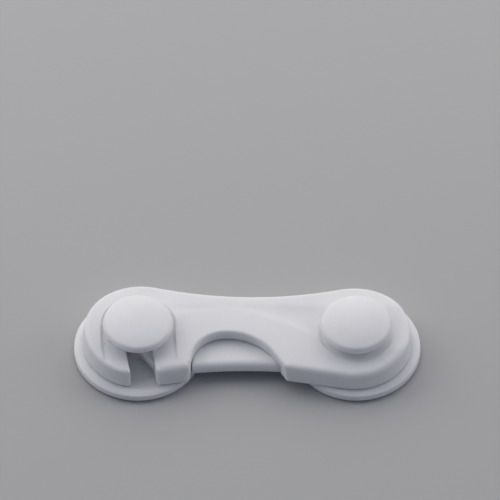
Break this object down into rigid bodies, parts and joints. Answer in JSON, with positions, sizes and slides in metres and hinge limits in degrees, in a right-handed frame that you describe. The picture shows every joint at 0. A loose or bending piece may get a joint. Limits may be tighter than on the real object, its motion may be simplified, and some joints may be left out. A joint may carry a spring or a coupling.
{
  "type": "child safety swing latch",
  "caption": "Stick-on child-safety latch: a swinging hook arm on a pivot stud closes over a catch stud and is held by a sprung tooth with a thumb release.",
  "frame": {"origin": "midway between the two studs, on the mounting plane under the adhesive pads", "axes": "+X from the catch stud towards the pivot stud, +Y towards the arm's smooth back edge, +Z out of the mounting plane"},
  "size_m": [0.102, 0.038, 0.0156],
  "materials": {
    "housing_plastic": "satin moulded white",
    "cover_plastic": "fine matt moulded white",
    "button_plastic": "satin moulded white",
    "bolt_plastic": "smooth natural acetal",
    "base_plastic": "satin moulded white",
    "cap_plastic": "satin moulded white",
    "adhesive_foam": "closed-cell foam tape",
    "zinc_steel": "zinc plated",
    "spring_steel": "drawn spring wire"
  },
  "bodies": {
    "mounted_studs": {"pivot_base": "base_plastic", "pivot_cap": "cap_plastic", "pivot_adhesive_pad": "adhesive_foam", "pivot_screw": "zinc_steel", "catch_base": "base_plastic", "catch_cap": "cap_plastic", "catch_adhesive_pad": "adhesive_foam", "catch_screw": "zinc_steel"},
    "hook_arm": {"arm_upper_shell": "housing_plastic", "arm_lower_cover": "cover_plastic", "cover_screws": "zinc_steel", "bolt_spring": "spring_steel"},
    "button": {"release_button": "button_plastic"},
    "bolt": {"latch_bolt": "bolt_plastic"}
  },
  "joints": [
    {"name": "arm_swing", "type": "hinge", "parent": "mounted_studs", "child": "hook_arm", "pos_m": [0.032, 0, 0.006], "axis": [0, 0, -1], "range_deg": [-1.5, 335]},
    {"name": "button_press", "type": "slide", "parent": "hook_arm", "child": "button", "axis": [0, 1, 0], "range_m": [0, 0.003]},
    {"name": "bolt_slide", "type": "slide", "parent": "hook_arm", "child": "bolt", "axis": [1, 0, 0], "range_m": [0, 0.0039], "stiffness_N_per_m": 300, "springref_m": -0.003, "deforming": ["bolt_spring"]}
  ],
  "couplings": [
    {"joint": "bolt_slide", "follows": "button_press", "ratio": 1.3}
  ]
}
